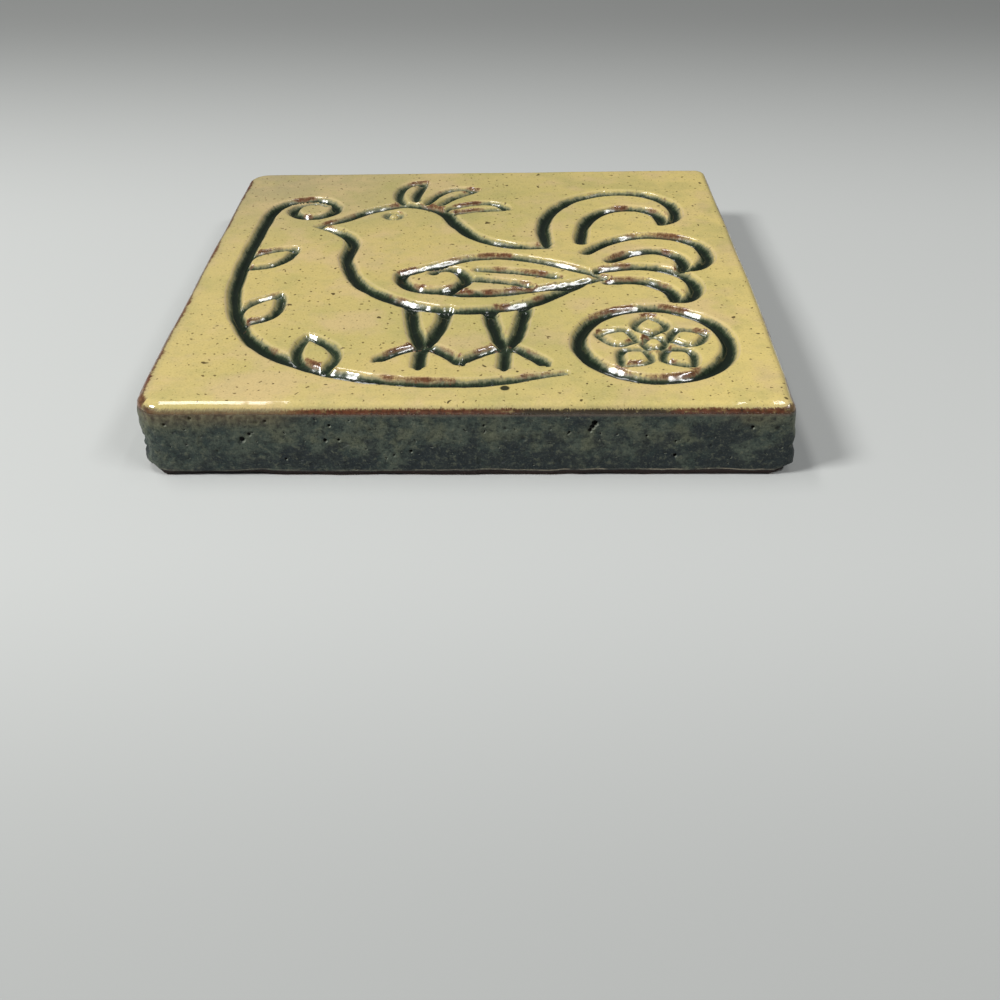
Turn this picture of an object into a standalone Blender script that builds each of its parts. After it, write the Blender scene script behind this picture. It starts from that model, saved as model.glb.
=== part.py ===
"""A square ceramic tile with a picture drawn in sunken, round-bottomed lines.

One fired piece: a thick slab with softly rounded corners, its glaze only a coat on it. It lies
face up, with the middle of its underside at the origin and its front edge towards -Y.
"""

import math

import bmesh
import bpy
from mathutils import Vector

# The slab, in metres
TILE_SIDE = 0.152
TILE_THICKNESS = 0.0190
BACK_LEFT_CORNER = 0.0050
BACK_RIGHT_CORNER = 0.0040
FRONT_LEFT_CORNER = 0.0070
FRONT_RIGHT_CORNER = 0.0028
TOP_ARRIS = 0.0023
BOTTOM_ARRIS = 0.0009

# The sunken lines
PICTURE_MARGIN = 0.0100
LINE_WIDTH = 0.0046
LINE_DEPTH = 0.0021
POINT_SPACING = 0.0029
SMALL_SPACING = 0.0018
LINE_END = 0.12
ROD_LIFT = 0.00015

# Chips up the left front corner: share of the height, and how deep each one bites into the clay
LEFT_CHIPS = ((0.49, 0.0006), (0.38, 0.0006))
CHIP_RADIUS = 0.0016

# The chip at the foot of each front corner
LEFT_FOOT_CHIP = 0.0021
RIGHT_FOOT_CHIP = 0.0015
FOOT_CHIP_RADIUS = 0.0030

# How far the rough ball that cuts a chip is turned about X and Y, in radians
CHIP_TURN = (0.4, 0.7)

# Finish
GLAZE_COLOUR = (0.62, 0.49, 0.21, 1.0)
GLAZE_ROUGHNESS = 0.16

# How finely curves and rounds are worked out
CURL_STEPS = 60
KNOT_STEPS = 12
ROUND_LINE_POINTS = 14
ROD_SEGMENTS = 2
CORNER_SEGMENTS = 5
ARRIS_SEGMENTS = 3

PICTURE_HALF = TILE_SIDE / 2 - PICTURE_MARGIN


def start_empty():
    """Remove what the file opened with."""
    for thing in list(bpy.data.objects):
        bpy.data.objects.remove(thing, do_unlink=True)


def new_collection(name):
    collection = bpy.data.collections.new(name)
    bpy.context.scene.collection.children.link(collection)
    return collection


def glaze_material():
    material = bpy.data.materials.new("mustard_glaze")
    material.use_nodes = True
    shader = material.node_tree.nodes["Principled BSDF"]
    shader.inputs["Base Color"].default_value = GLAZE_COLOUR
    shader.inputs["Roughness"].default_value = GLAZE_ROUGHNESS
    shader.inputs["Metallic"].default_value = 0.0
    return material


# Lines of the picture are worked out in shares of its half size, from -1 to 1 each way

def spaced(points, spacing=POINT_SPACING):
    """The same run of points, set evenly apart."""
    step = spacing / PICTURE_HALF
    reach = [0.0]
    for a, b in zip(points, points[1:]):
        reach.append(reach[-1] + math.dist(a, b))
    count = max(4, round(reach[-1] / step))
    run = []
    piece = 0
    for i in range(count + 1):
        goal = reach[-1] * i / count
        while piece < len(points) - 2 and reach[piece + 1] < goal:
            piece += 1
        share = (goal - reach[piece]) / max(reach[piece + 1] - reach[piece], 1e-9)
        run.append(Vector(points[piece]).lerp(Vector(points[piece + 1]), min(share, 1.0)))
    return run


def through(points):
    """A smooth run through a few points."""
    first = Vector(points[0]) * 2 - Vector(points[1])
    last = Vector(points[-1]) * 2 - Vector(points[-2])
    knots = [first] + [Vector(p) for p in points] + [last]
    run = []
    for a, b, c, d in zip(knots, knots[1:], knots[2:], knots[3:]):
        for k in range(KNOT_STEPS):
            t = k / KNOT_STEPS
            bend = 2 * a - 5 * b + 4 * c - d
            twist = 3 * b - a - 3 * c + d
            run.append(0.5 * (2 * b + (c - a) * t + bend * t ** 2 + twist * t ** 3))
    run.append(knots[-2])
    return run


def curl(start, heading, length, turn, tighten=1.0):
    """A run that turns as it goes, ever faster where tighten is over 1. Angles are in degrees."""
    run = [Vector(start)]
    for i in range(CURL_STEPS):
        angle = math.radians(heading + turn * ((i + 0.5) / CURL_STEPS) ** tighten)
        run.append(run[-1] + Vector((math.cos(angle), math.sin(angle))) * length / CURL_STEPS)
    return run


def feather(start, heading, length, turn, width, tighten=1.6, base=0.75, belly=0.55):
    """A curled feather's outer and inner edge, each from its root to the pointed tip."""
    spine = curl(start, heading, length, turn, tighten)
    outer = []
    inner = []
    for i, point in enumerate(spine):
        t = i / (len(spine) - 1)
        if t < belly:
            swell = base + (1 - base) * math.sin(t / belly * math.pi / 2)
        else:
            swell = math.cos((t - belly) / (1 - belly) * math.pi / 2)
        across = math.radians(heading + turn * t ** tighten + 90)
        offset = Vector((math.cos(across), math.sin(across))) * width / 2 * swell
        outer.append(point + offset)
        inner.append(point - offset)
    return outer, inner[:-1]


def leaf(start, heading, length, width):
    """The two edges of a pointed oval that closes on its stalk end."""
    outer, inner = feather(start, heading, length, 0, width, tighten=1.0, base=0.0, belly=0.42)
    return outer, inner[1:]


def circle(centre, radius):
    """A round line. Its last point is its first again."""
    count = max(ROUND_LINE_POINTS, round(math.tau * radius * PICTURE_HALF / POINT_SPACING))
    return [Vector(centre) + radius * Vector((math.cos(a), math.sin(a)))
            for a in (math.tau * k / count for k in range(count + 1))]


def heading_at(run, index):
    step = run[index + 1] - run[index]
    return math.degrees(math.atan2(step.y, step.x))


# Each part of the picture gives its lines as (points, start, middle and end weight)

def bird_body():
    beak = (-0.72, 0.45)
    nape = [beak, (-0.60, 0.53), (-0.48, 0.64), (-0.32, 0.70), (-0.16, 0.62), (-0.08, 0.45),
            (0.02, 0.30), (0.17, 0.21), (0.32, 0.20)]
    breast = [(-0.71, 0.44), (-0.61, 0.38), (-0.54, 0.27), (-0.54, 0.06), (-0.45, -0.18), (-0.25, -0.36),
              (0.00, -0.42), (0.24, -0.36), (0.44, -0.19)]
    return [
        (spaced(through(nape)), (0.5, 1.05, 0.9)),
        (spaced(through(breast)), (0.5, 1.05, 0.9)),
        (circle((-0.38, 0.57), 0.036), (0.6, 0.6, 0.6)),
    ]


def crest():
    lines = []
    for start, heading in (((-0.32, 0.75), 108), ((-0.20, 0.72), 72), ((-0.11, 0.62), 36)):
        for edge in feather(start, heading, 0.28, -70, 0.09, tighten=1.2):
            lines.append((spaced(edge, SMALL_SPACING), (0.7, 0.8, 0.5)))
    return lines


def wing():
    tip = (0.56, -0.12)
    scroll = curl((-0.165, -0.07), 100, 0.66, -375, 0.62)
    leading = through([scroll[-1], (0.02, 0.09), (0.28, 0.05), tip])
    trailing = through([(0.55, -0.13), (0.30, -0.22), (0.02, -0.27), (-0.20, -0.22)])
    lines = [
        (spaced(scroll + leading[1:]), (0.7, 1.0, 0.5)),
        (spaced(trailing), (0.5, 1.0, 0.7)),
    ]
    for k in range(2):
        quill = curl((0.03 - 0.03 * k, -0.035 - 0.095 * k), -6, 0.36 - 0.10 * k, -16)
        lines.append((spaced(quill), (0.8, 0.9, 0.4)))
    return lines


def tail():
    plumes = (
        ((0.40, 0.24), 93, 1.07, -226, 0.205, 1.75),
        ((0.54, 0.09), 48, 0.69, -206, 0.175, 1.60),
        ((0.55, -0.11), 16, 0.52, -160, 0.150, 1.60),
    )
    return [(spaced(edge), (0.9, 1.05, 0.5)) for plume in plumes for edge in feather(*plume)]


def legs():
    lines = []
    for hip in (Vector((-0.16, -0.41)), Vector((0.15, -0.42))):
        ankle = hip + Vector((0.0, -0.29))
        for side in (-1, 1):
            top = hip + Vector((0.070 * side, 0.010))
            shin = hip + Vector((0.052 * side, -0.135))
            heel = ankle + Vector((0.014 * side, 0.005 * side))
            lines.append((spaced(through([top, shin, heel])), (1.0, 1.0, 0.7)))
        for heading, length, turn in ((208, 0.20, 18), (262, 0.17, 10), (322, 0.20, -18)):
            knuckle = curl(ankle, heading, 0.02, 0)[-1]
            lines.append((spaced(curl(knuckle, heading, length, turn)), (0.8, 0.9, 0.4)))
    return lines


def rosette():
    centre = Vector((0.70, -0.69))
    petals = 5
    lines = [
        (circle(centre, 0.28), (1.05, 1.05, 1.05)),
        (circle(centre, 0.042), (0.6, 0.6, 0.6)),
    ]
    for k in range(petals):
        heading = 90 + 360 * k / petals
        out = Vector((math.cos(math.radians(heading)), math.sin(math.radians(heading))))
        for edge in leaf(centre + 0.066 * out, heading, 0.150, 0.120):
            lines.append((spaced(edge, SMALL_SPACING), (0.55, 0.65, 0.55)))
    return lines


def vine():
    stem = through([(0.36, -0.92), (0.02, -0.99), (-0.42, -0.94), (-0.77, -0.72), (-0.94, -0.36),
                    (-0.98, 0.08), (-0.965, 0.58)])
    volute = curl(stem[-1], 84, 1.02, -500, 1.45)
    lines = [(spaced(stem + volute[1:]), (0.5, 1.0, 0.6))]
    knots = spaced(stem, SMALL_SPACING)
    for share in (0.35, 0.56, 0.77):
        index = round(share * len(knots))
        for edge in leaf(knots[index], heading_at(knots, index) - 46, 0.29, 0.145):
            lines.append((spaced(edge, SMALL_SPACING), (0.6, 0.8, 0.5)))
    return lines


def weight_at(weights, share):
    """A line's weight along its length, easing in and out at its two ends."""
    start, middle, end = weights
    if share < LINE_END:
        return start + (middle - start) * math.sin(share / LINE_END * math.pi / 2)
    if share > 1 - LINE_END:
        return end + (middle - end) * math.sin((1 - share) / LINE_END * math.pi / 2)
    return middle


def line_cutter(name, run, weights, cutters):
    """A rod that lies along a line with its widest level just out of the clay, so the cut stays open."""
    closed = (run[0] - run[-1]).length < (run[1] - run[0]).length / 2
    points = run[:-1] if closed else run
    curve = bpy.data.curves.new(name, "CURVE")
    curve.dimensions = "3D"
    curve.bevel_depth = LINE_WIDTH / 2
    curve.bevel_resolution = ROD_SEGMENTS
    curve.use_fill_caps = not closed
    spline = curve.splines.new("POLY")
    spline.points.add(len(points) - 1)
    spline.use_cyclic_u = closed
    for i, point in enumerate(points):
        place = point * PICTURE_HALF
        spline.points[i].co = (place.x, place.y, 0.0, 1.0)
        spline.points[i].radius = weight_at(weights, i / (len(points) - 1))
    rod = bpy.data.objects.new(name, curve)
    cutters.objects.link(rod)
    bpy.context.view_layer.update()
    seen = rod.evaluated_get(bpy.context.evaluated_depsgraph_get())
    mesh = bpy.data.meshes.new_from_object(seen)
    shape = bmesh.new()
    shape.from_mesh(mesh)
    bmesh.ops.remove_doubles(shape, verts=shape.verts, dist=1e-6)
    bmesh.ops.recalc_face_normals(shape, faces=shape.faces)
    flatten = (LINE_DEPTH + ROD_LIFT) / (LINE_WIDTH / 2)
    bmesh.ops.scale(shape, verts=shape.verts, vec=(1.0, 1.0, flatten))
    bmesh.ops.translate(shape, verts=shape.verts, vec=(0.0, 0.0, TILE_THICKNESS + ROD_LIFT))
    shape.to_mesh(mesh)
    shape.free()
    cutter = bpy.data.objects.new(name, mesh)
    cutter.matrix_world = rod.matrix_world
    bpy.data.objects.remove(rod)
    cutters.objects.link(cutter)
    return cutter


def chip_cutter(name, side, corner, height, radius, bite, cutters):
    """A rough ball that bites that deep into the middle of a front corner's round."""
    mesh = bpy.data.meshes.new(name)
    shape = bmesh.new()
    bmesh.ops.create_icosphere(shape, subdivisions=1, radius=radius)
    shape.to_mesh(mesh)
    shape.free()
    out = TILE_SIDE / 2 - corner + (corner + radius - bite) * math.sqrt(0.5)
    cutter = bpy.data.objects.new(name, mesh)
    cutter.location = (side * out, -out, height)
    cutter.rotation_euler = (*CHIP_TURN, height / TILE_THICKNESS)
    cutters.objects.link(cutter)
    return cutter


def front_chips(cutters):
    """Chips along the left front corner, and one at the foot of each front corner."""
    for share, bite in LEFT_CHIPS:
        chip_cutter("left_chip", -1, FRONT_LEFT_CORNER, TILE_THICKNESS * share, CHIP_RADIUS, bite, cutters)
    feet = ((-1, FRONT_LEFT_CORNER, LEFT_FOOT_CHIP), (1, FRONT_RIGHT_CORNER, RIGHT_FOOT_CHIP))
    for side, corner, bite in feet:
        chip_cutter("foot_chip", side, corner, 0.0, FOOT_CHIP_RADIUS, bite, cutters)


def rounded_slab(collection):
    """The slab: each upright corner with its own radius, then the two rims eased."""
    mesh = bpy.data.meshes.new("tile")
    shape = bmesh.new()
    bmesh.ops.create_cube(shape, size=1.0)
    size = Vector((TILE_SIDE, TILE_SIDE, TILE_THICKNESS))
    for vertex in shape.verts:
        vertex.co = vertex.co * size + Vector((0.0, 0.0, TILE_THICKNESS / 2))
    corners = (
        (-1, 1, BACK_LEFT_CORNER),
        (1, 1, BACK_RIGHT_CORNER),
        (-1, -1, FRONT_LEFT_CORNER),
        (1, -1, FRONT_RIGHT_CORNER),
    )
    for side_x, side_y, radius in corners:
        place = Vector((side_x, side_y)) * TILE_SIDE / 2
        upright = [edge for edge in shape.edges
                   if all((vertex.co.xy - place).length < 1e-6 for vertex in edge.verts)]
        bmesh.ops.bevel(shape, geom=upright, offset=radius, offset_type="OFFSET",
                        segments=CORNER_SEGMENTS, profile=0.5, affect="EDGES")
    for level, arris in ((TILE_THICKNESS, TOP_ARRIS), (0.0, BOTTOM_ARRIS)):
        rim = [edge for edge in shape.edges
               if all(abs(vertex.co.z - level) < 1e-6 for vertex in edge.verts)]
        bmesh.ops.bevel(shape, geom=rim, offset=arris, offset_type="OFFSET",
                        segments=ARRIS_SEGMENTS, profile=0.5, affect="EDGES")
    shape.to_mesh(mesh)
    shape.free()
    tile = bpy.data.objects.new("tile", mesh)
    tile.data.materials.append(glaze_material())
    collection.objects.link(tile)
    return tile


def main():
    start_empty()
    parts = new_collection("ceramic_tile_plaque")
    cutters = new_collection("cutters")
    tile = rounded_slab(parts)
    pictures = (bird_body, crest, wing, tail, legs, rosette, vine)
    for picture in pictures:
        for k, (run, weights) in enumerate(picture()):
            line_cutter(f"{picture.__name__}_line_{k}", run, weights, cutters)
    front_chips(cutters)
    for cutter in cutters.objects:
        cutter.hide_render = True
        cutter.display_type = "WIRE"
    carve = tile.modifiers.new("carve", "BOOLEAN")
    carve.operation = "DIFFERENCE"
    carve.operand_type = "COLLECTION"
    carve.collection = cutters
    carve.solver = "EXACT"


main()
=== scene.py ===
"""A thick glazed clay tile with a picture in sunken lines, dressed and lit on a pale floor."""

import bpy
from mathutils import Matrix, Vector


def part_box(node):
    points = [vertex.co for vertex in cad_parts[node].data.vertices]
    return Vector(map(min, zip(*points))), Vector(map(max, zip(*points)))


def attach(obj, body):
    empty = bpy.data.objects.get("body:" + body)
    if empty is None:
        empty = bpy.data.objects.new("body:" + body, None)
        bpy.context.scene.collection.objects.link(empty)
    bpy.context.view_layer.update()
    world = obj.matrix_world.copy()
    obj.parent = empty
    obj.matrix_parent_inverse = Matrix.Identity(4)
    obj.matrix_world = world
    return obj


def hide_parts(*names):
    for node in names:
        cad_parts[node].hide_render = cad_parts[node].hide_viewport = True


bl_info = {
    "name": "Sunken-line glazed tile",
    "version": (1, 0, 0),
    "blender": (4, 5, 0),
    "location": "View3D > Sidebar > Glazed tile",
    "description": "Makes a hand-pressed clay tile with a glazed sunken-line picture, and its stage",
    "category": "Add Mesh",
}

import math

import bmesh
import bpy
import numpy as np
from mathutils import Matrix, Vector, noise

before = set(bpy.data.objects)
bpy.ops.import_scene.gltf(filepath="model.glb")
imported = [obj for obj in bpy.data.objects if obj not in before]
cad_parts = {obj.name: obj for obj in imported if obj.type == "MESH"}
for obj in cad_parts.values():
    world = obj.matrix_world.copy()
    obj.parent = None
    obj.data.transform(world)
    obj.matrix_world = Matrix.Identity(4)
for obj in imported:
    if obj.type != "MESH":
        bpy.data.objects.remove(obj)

MM = 0.001
CAD_LOW, CAD_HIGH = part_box("tile")
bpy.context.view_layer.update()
SIDE = CAD_HIGH.x - CAD_LOW.x
HALF = SIDE / 2
THICKNESS = CAD_HIGH.z - CAD_LOW.z
TINY = 1e-6
NOT_ZERO = 1e-9


def length_entry(name, says, default):
    """A length that the user can change. Its default is in millimetres."""
    return bpy.props.FloatProperty(name=name, description=says, default=default * MM, unit="LENGTH")


def colour_entry(name, says, default):
    """A colour that the user can change."""
    return bpy.props.FloatVectorProperty(
        name=name, description=says, default=default, size=3, subtype="COLOR")


class TileSizes(bpy.types.PropertyGroup):
    """Sizes of the tile's own relief and edges. Its side and thickness come from the frame."""

    picture_margin: length_entry(
        "Picture margin", "From the tile's side to the picture's outermost lines", 10.0)
    line_reach: length_entry("Line reach", "From a line's middle to where its soft shoulder ends", 2.75)
    line_floor: bpy.props.FloatProperty(
        name="Line floor", description="Share of the reach that stays at full depth",
        default=0.10, subtype="FACTOR")
    line_depth: length_entry("Line depth", "From the face down to the middle of a line", 2.05)
    lip_height: length_entry("Lip height", "Clay pushed up beside a line", 0.02)
    back_left_corner: length_entry("Back left corner", "Plan radius", 6.5)
    back_right_corner: length_entry("Back right corner", "Plan radius", 4.0)
    front_left_corner: length_entry("Front left corner", "Plan radius", 7.0)
    front_right_corner: length_entry("Front right corner", "Plan radius", 2.8)
    back_slant: length_entry("Back slant", "How far each end of the back edge is off square", 1.6)
    top_arris: length_entry("Top arris", "Radius of the edge round the face", 2.3)
    corner_softness: length_entry("Corner softness", "What the top arris gains by the front corners", 1.0)
    bottom_arris: length_entry("Bottom arris", "Radius of the edge round the underside", 0.9)
    grid_cells: bpy.props.IntProperty(
        name="Grid cells", description="Cells along the face before the lines are refined",
        default=88)


class TileColours(bpy.types.PropertyGroup):
    """Colours of the glazes and the clay."""

    mustard: colour_entry("Mustard glaze", "Face, at its warmest", (0.600, 0.478, 0.176))
    straw: colour_entry("Straw glaze", "Face, where it greens in the middle", (0.520, 0.440, 0.160))
    pale: colour_entry("Pale glaze", "Face, near its edges", (0.625, 0.500, 0.205))
    haze: colour_entry(
        "Hazy glaze", "Dark glaze at its thinnest, on a line's shoulders", (0.205, 0.215, 0.140))
    moss: colour_entry("Moss glaze", "Dark glaze on a line's walls", (0.032, 0.050, 0.026))
    pool: colour_entry("Pooled glaze", "Thick dark glaze on a line's floor", (0.008, 0.014, 0.008))
    rust: colour_entry("Rust", "Where the glaze breaks thin over an edge", (0.150, 0.050, 0.022))
    speck: colour_entry("Iron specks", "Specks that bleed through the glaze", (0.085, 0.048, 0.014))
    clay: colour_entry("Bare clay", "Underside and foot of the sides", (0.205, 0.098, 0.055))


def tile_sizes():
    return bpy.context.scene.tile_sizes


# The picture: lines in shares of its half size, from -1 to 1 each way

LINE_SPACING = 0.5 * MM
LINE_END = 0.12
LINE_GAP = 13 * MM
CURL_STEPS = 60
KNOT_STEPS = 12


def picture_half():
    return HALF - tile_sizes().picture_margin


def toward(angle):
    return Vector((math.cos(angle), math.sin(angle)))


def distances(run):
    """How far along a run of points each of them is."""
    steps = np.hypot(*np.diff(run, axis=0).T)
    return np.concatenate([[0.0], np.cumsum(steps)])


def spaced(points):
    """The same run of points, set evenly and closely apart."""
    run = np.array([tuple(point) for point in points])
    reach = distances(run)
    count = max(4, round(reach[-1] * picture_half() / LINE_SPACING))
    goals = np.linspace(0.0, reach[-1], count + 1)
    return np.stack([np.interp(goals, reach, run[:, axis]) for axis in (0, 1)], axis=1)


def through(points):
    """A smooth run through a few points."""
    first = Vector(points[0]) * 2 - Vector(points[1])
    last = Vector(points[-1]) * 2 - Vector(points[-2])
    knots = [first] + [Vector(p) for p in points] + [last]
    run = []
    for a, b, c, d in zip(knots, knots[1:], knots[2:], knots[3:]):
        for k in range(KNOT_STEPS):
            t = k / KNOT_STEPS
            bend = 2 * a - 5 * b + 4 * c - d
            twist = 3 * b - a - 3 * c + d
            run.append(0.5 * (2 * b + (c - a) * t + bend * t ** 2 + twist * t ** 3))
    run.append(knots[-2])
    return run


def curl(start, heading, length, turn, tighten=1.0):
    """A run that turns as it goes, ever faster where tighten is over 1. Angles are in degrees."""
    run = [Vector(start)]
    for i in range(CURL_STEPS):
        angle = math.radians(heading + turn * ((i + 0.5) / CURL_STEPS) ** tighten)
        run.append(run[-1] + toward(angle) * length / CURL_STEPS)
    return run


def feather(start, heading, length, turn, width, tighten=1.6, base=0.75, belly=0.55):
    """A curled feather's outer and inner edge, each from its root to the pointed tip."""
    spine = curl(start, heading, length, turn, tighten)
    outer = []
    inner = []
    for i, point in enumerate(spine):
        t = i / (len(spine) - 1)
        if t < belly:
            swell = base + (1 - base) * math.sin(t / belly * math.pi / 2)
        else:
            swell = math.cos((t - belly) / (1 - belly) * math.pi / 2)
        across = math.radians(heading + turn * t ** tighten + 90)
        offset = toward(across) * width / 2 * swell
        outer.append(point + offset)
        inner.append(point - offset)
    return outer, inner


def leaf(start, heading, length, width):
    """The two edges of a pointed oval that closes on its stalk end."""
    return feather(start, heading, length, 0, width, tighten=1.0, base=0.0, belly=0.42)


def circle(centre, radius):
    """A round line. Its last point is its first again."""
    return [Vector(centre) + radius * toward(math.tau * k / CURL_STEPS) for k in range(CURL_STEPS + 1)]


# Each part of the picture gives its lines as (points, start, middle and end weight)

def bird_body():
    beak = (-0.72, 0.45)
    nape = [beak, (-0.60, 0.53), (-0.48, 0.64), (-0.32, 0.70), (-0.16, 0.62), (-0.08, 0.45),
            (0.02, 0.30), (0.17, 0.21), (0.32, 0.20)]
    breast = [beak, (-0.61, 0.38), (-0.54, 0.27), (-0.54, 0.06), (-0.45, -0.18), (-0.25, -0.36),
              (0.00, -0.42), (0.24, -0.36), (0.44, -0.19)]
    return [
        (through(nape), (0.5, 1.05, 0.9)),
        (through(breast), (0.5, 1.05, 0.9)),
        (circle((-0.38, 0.57), 0.036), (0.6, 0.6, 0.6)),
    ]


def crest():
    lines = []
    for start, heading in (((-0.32, 0.75), 108), ((-0.20, 0.72), 72), ((-0.11, 0.62), 36)):
        for edge in feather(start, heading, 0.28, -70, 0.09, tighten=1.2):
            lines.append((edge, (0.7, 0.8, 0.5)))
    return lines


def wing():
    tip = (0.56, -0.12)
    scroll = curl((-0.165, -0.07), 100, 0.66, -375, 0.62)
    leading = through([scroll[-1], (0.02, 0.09), (0.28, 0.05), tip])
    trailing = through([tip, (0.30, -0.22), (0.02, -0.27), (-0.20, -0.22)])
    lines = [
        (scroll + leading[1:], (0.7, 1.0, 0.5)),
        (trailing, (0.5, 1.0, 0.7)),
    ]
    for k in range(2):
        quill = curl((0.03 - 0.03 * k, -0.035 - 0.095 * k), -6, 0.36 - 0.10 * k, -16)
        lines.append((quill, (0.8, 0.9, 0.4)))
    return lines


def tail():
    plumes = (
        ((0.40, 0.24), 93, 1.07, -226, 0.205, 1.75),
        ((0.54, 0.09), 48, 0.69, -206, 0.175, 1.60),
        ((0.55, -0.11), 16, 0.52, -160, 0.150, 1.60),
    )
    return [(edge, (0.9, 1.05, 0.5)) for plume in plumes for edge in feather(*plume)]


def legs():
    lines = []
    for hip in (Vector((-0.16, -0.41)), Vector((0.15, -0.42))):
        ankle = hip + Vector((0.0, -0.29))
        for side in (-1, 1):
            top = hip + Vector((0.070 * side, 0.010))
            shin = hip + Vector((0.052 * side, -0.135))
            heel = ankle + Vector((0.014 * side, 0.005 * side))
            lines.append((through([top, shin, heel]), (1.0, 1.0, 0.7)))
        for heading, length, turn in ((208, 0.20, 18), (262, 0.17, 10), (322, 0.20, -18)):
            knuckle = curl(ankle, heading, 0.02, 0)[-1]
            lines.append((curl(knuckle, heading, length, turn), (0.8, 0.9, 0.4)))
    return lines


def rosette():
    centre = Vector((0.70, -0.69))
    petals = 5
    lines = [
        (circle(centre, 0.28), (1.05, 1.05, 1.05)),
        (circle(centre, 0.042), (0.6, 0.6, 0.6)),
    ]
    for k in range(petals):
        heading = 90 + 360 * k / petals
        for edge in leaf(centre + 0.066 * toward(math.radians(heading)), heading, 0.150, 0.120):
            lines.append((edge, (0.55, 0.65, 0.55)))
    return lines


def vine():
    stem = through([(0.36, -0.92), (0.02, -0.99), (-0.42, -0.94), (-0.77, -0.72), (-0.94, -0.36),
                    (-0.98, 0.08), (-0.965, 0.58)])
    volute = curl(stem[-1], 84, 1.02, -500, 1.45)
    lines = [(stem + volute[1:], (0.5, 1.0, 0.6))]
    knots = [Vector(point) for point in spaced(stem)]
    for share in (0.35, 0.56, 0.77):
        index = round(share * len(knots))
        step = knots[index + 1] - knots[index]
        heading = math.degrees(math.atan2(step.y, step.x))
        for edge in leaf(knots[index], heading - 46, 0.29, 0.145):
            lines.append((edge, (0.6, 0.8, 0.5)))
    return lines


PICTURES = (bird_body, crest, wing, tail, legs, rosette, vine)


def line_weights(weights, count):
    """A line's weight at each of its points, easing in and out at its two ends."""
    start, middle, end = weights
    share = np.linspace(0.0, 1.0, count)
    into = np.sin(np.clip(share / LINE_END, 0, 1) * math.pi / 2)
    out = np.sin(np.clip((1 - share) / LINE_END, 0, 1) * math.pi / 2)
    return middle - (middle - start) * (1 - into) - (middle - end) * (1 - out)


def picture_lines():
    """Every line of the picture in metres: its points, weights and distance along."""
    lines = []
    along_all = 0.0
    for picture in PICTURES:
        for run, weights in picture():
            points = spaced(run) * picture_half()
            along = along_all + distances(points)
            along_all = along[-1] + LINE_GAP
            lines.append((points, line_weights(weights, len(points)), along))
    return lines


def nearest_on_line(places, points, weights, along):
    """For each place: its offset from the line, and the line's weight and distance along there."""
    gap = places[:, None, :] - points[None, :, :]
    index = np.argmin(np.einsum("ijk,ijk->ij", gap, gap), axis=1)
    offset = np.full(places.shape, np.inf)
    weight = np.zeros(len(places))
    at = np.zeros(len(places))
    for shift in (-1, 0):
        first = np.clip(index + shift, 0, len(points) - 2)
        start = points[first]
        step = points[first + 1] - start
        share = np.einsum("ij,ij->i", places - start, step) / np.einsum("ij,ij->i", step, step)
        share = np.clip(share, 0.0, 1.0)
        here = places - start - step * share[:, None]
        nearer = np.hypot(*here.T) < np.hypot(*offset.T)
        offset[nearer] = here[nearer]
        weight[nearer] = (weights[first] + (weights[first + 1] - weights[first]) * share)[nearer]
        at[nearer] = (along[first] + (along[first + 1] - along[first]) * share)[nearer]
    return offset, weight, at


def smooth_step(low, high, value):
    """From 0 at low to 1 at high, also where high is the lesser of the two."""
    t = np.clip((value - low) / (high - low), 0.0, 1.0)
    return t * t * (3 - 2 * t)


def hill(middle, spread, value):
    """1 at the middle and next to nothing two spreads away."""
    return np.exp(-((value - middle) / spread) ** 2)


# What a line does round itself. Reaches, middles and spreads are in shares of the line's reach

SEARCH_REACH = 2.5
LIP_MIDDLE, LIP_SPREAD = 1.15, 0.22
CROWD_MIDDLE, CROWD_SPREAD = 1.0, 0.33
THIN_POWER = 0.8
JOIN_POWER = 6
FAR = 9.0
BATCH = 4000


class Relief:
    """What the lines do at each place on the face.

    depth: share of full depth. lip: clay pushed up. crowd: how many lines' edges meet. margin: distance
    out from the nearest line's edge. nearest, along, faces_front: how far from that line's middle, how
    far along it, and how squarely its wall there looks to the front.
    """

    def __init__(self, places, lines):
        reach = tile_sizes().line_reach
        count = len(places)
        self.depth, self.lip, self.crowd, self.along, self.faces_front = np.zeros((5, count))
        self.margin, self.nearest = np.full((2, count), FAR)
        for points, weights, along in lines:
            low = points.min(axis=0) - SEARCH_REACH * reach
            high = points.max(axis=0) + SEARCH_REACH * reach
            inside = np.flatnonzero(np.all((places > low) & (places < high), axis=1))
            for part in np.array_split(inside, len(inside) // BATCH + 1):
                if len(part):
                    self.add_line(part, places[part], points, weights, along, reach)
        self.depth = self.depth ** (1 / JOIN_POWER)

    def add_line(self, part, places, points, weights, along, reach):
        offset, weight, at = nearest_on_line(places, points, weights, along)
        distance = np.hypot(*offset.T)
        share = distance / (reach * weight)
        bowl = weight ** THIN_POWER * (1 - smooth_step(tile_sizes().line_floor, 1.0, share))
        self.depth[part] += bowl ** JOIN_POWER
        self.lip[part] = np.maximum(self.lip[part], hill(LIP_MIDDLE, LIP_SPREAD, share))
        self.crowd[part] += hill(CROWD_MIDDLE, CROWD_SPREAD, share)
        self.margin[part] = np.minimum(self.margin[part], distance - reach * weight)
        nearer = share < self.nearest[part]
        facing = offset[:, 1] / np.maximum(distance, NOT_ZERO)
        self.nearest[part] = np.where(nearer, share, self.nearest[part])
        self.along[part] = np.where(nearer, at, self.along[part])
        self.faces_front[part] = np.where(nearer, facing, self.faces_front[part])


# What is uneven in hand-made clay: the size of its lumps, their seed, their octaves and their height

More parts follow.
